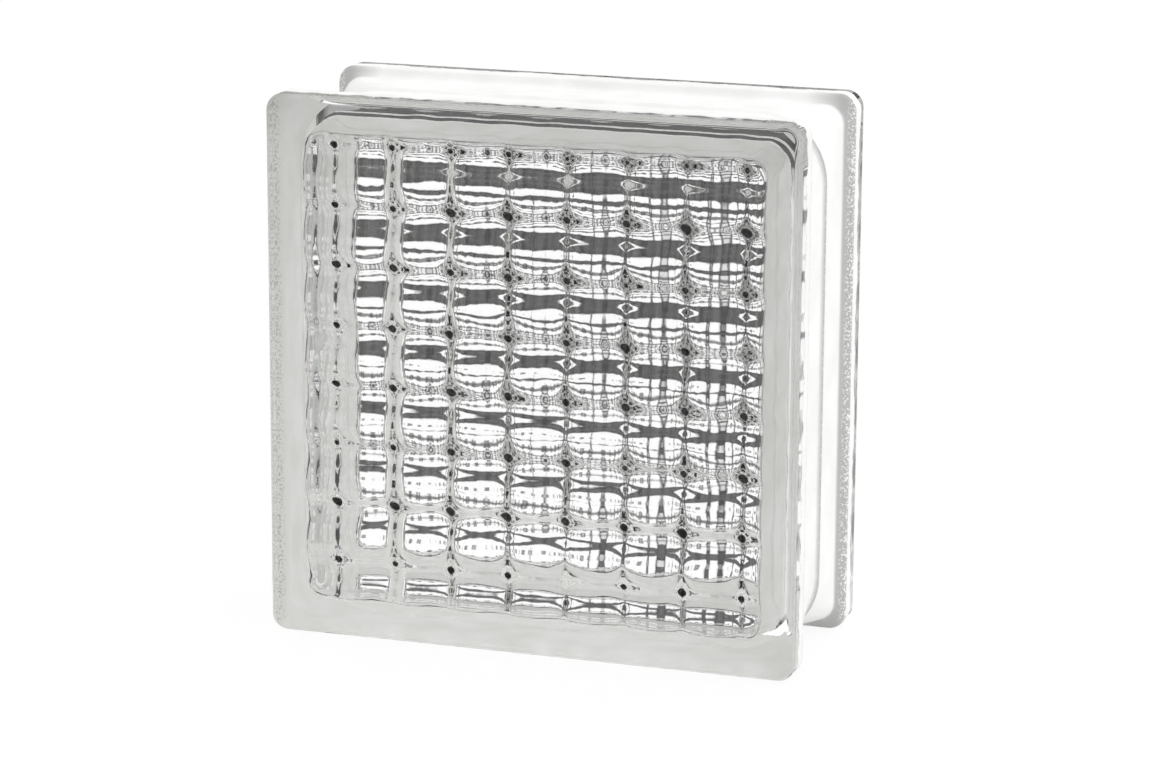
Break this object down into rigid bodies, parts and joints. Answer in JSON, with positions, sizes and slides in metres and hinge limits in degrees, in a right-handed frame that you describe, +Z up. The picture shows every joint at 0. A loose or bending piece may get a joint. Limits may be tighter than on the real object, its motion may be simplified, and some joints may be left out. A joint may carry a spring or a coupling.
{
  "type": "glass block",
  "caption": "Square hollow glass wall block with flanged edges, a mortar channel round its sides and crossed flutes pressed inside both panes as a grid of square bowls.",
  "frame": {"origin": "under the middle of the block, on the level floor that its flange edges stand on", "axes": "+X along the front face, +Y from the front face to the rear face, +Z up"},
  "size_m": [0.19, 0.08, 0.19],
  "materials": {
    "pressed_glass": "polished",
    "edge_coating": "matte"
  },
  "bodies": {
    "root": {"front_half": "pressed_glass", "rear_half": "pressed_glass"}
  },
  "joints": []
}
